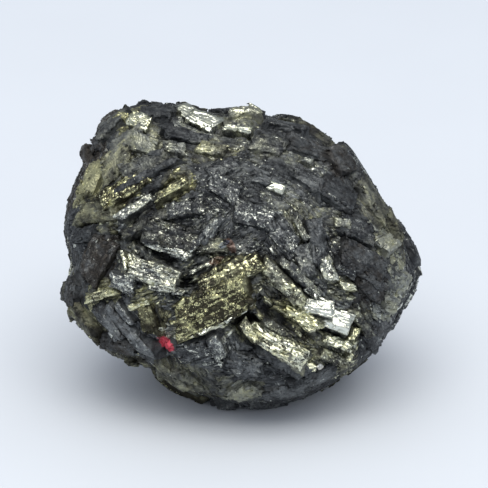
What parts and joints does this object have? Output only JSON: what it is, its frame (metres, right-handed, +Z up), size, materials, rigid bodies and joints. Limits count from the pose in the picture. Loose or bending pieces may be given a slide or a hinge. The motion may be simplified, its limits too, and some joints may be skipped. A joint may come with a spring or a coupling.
{
  "type": "rough pyrite crystal",
  "caption": "Rough nodule of intergrown pyrite slabs and blocks with stepped ledges and clefts, resting on a flat broken underside.",
  "frame": {"origin": "centre of the flat underside, on the surface the stone rests on", "axes": "+Z up, +X to the right along the stone's longest direction, -Y towards whoever looks at its broad face"},
  "size_m": [0.0355, 0.0309, 0.0299],
  "materials": {
    "pyrite": "dark tarnished iron sulphide with brassy and silvery crystal faces"
  },
  "bodies": {
    "root": {"pyrite_crystal": "pyrite"}
  },
  "joints": []
}
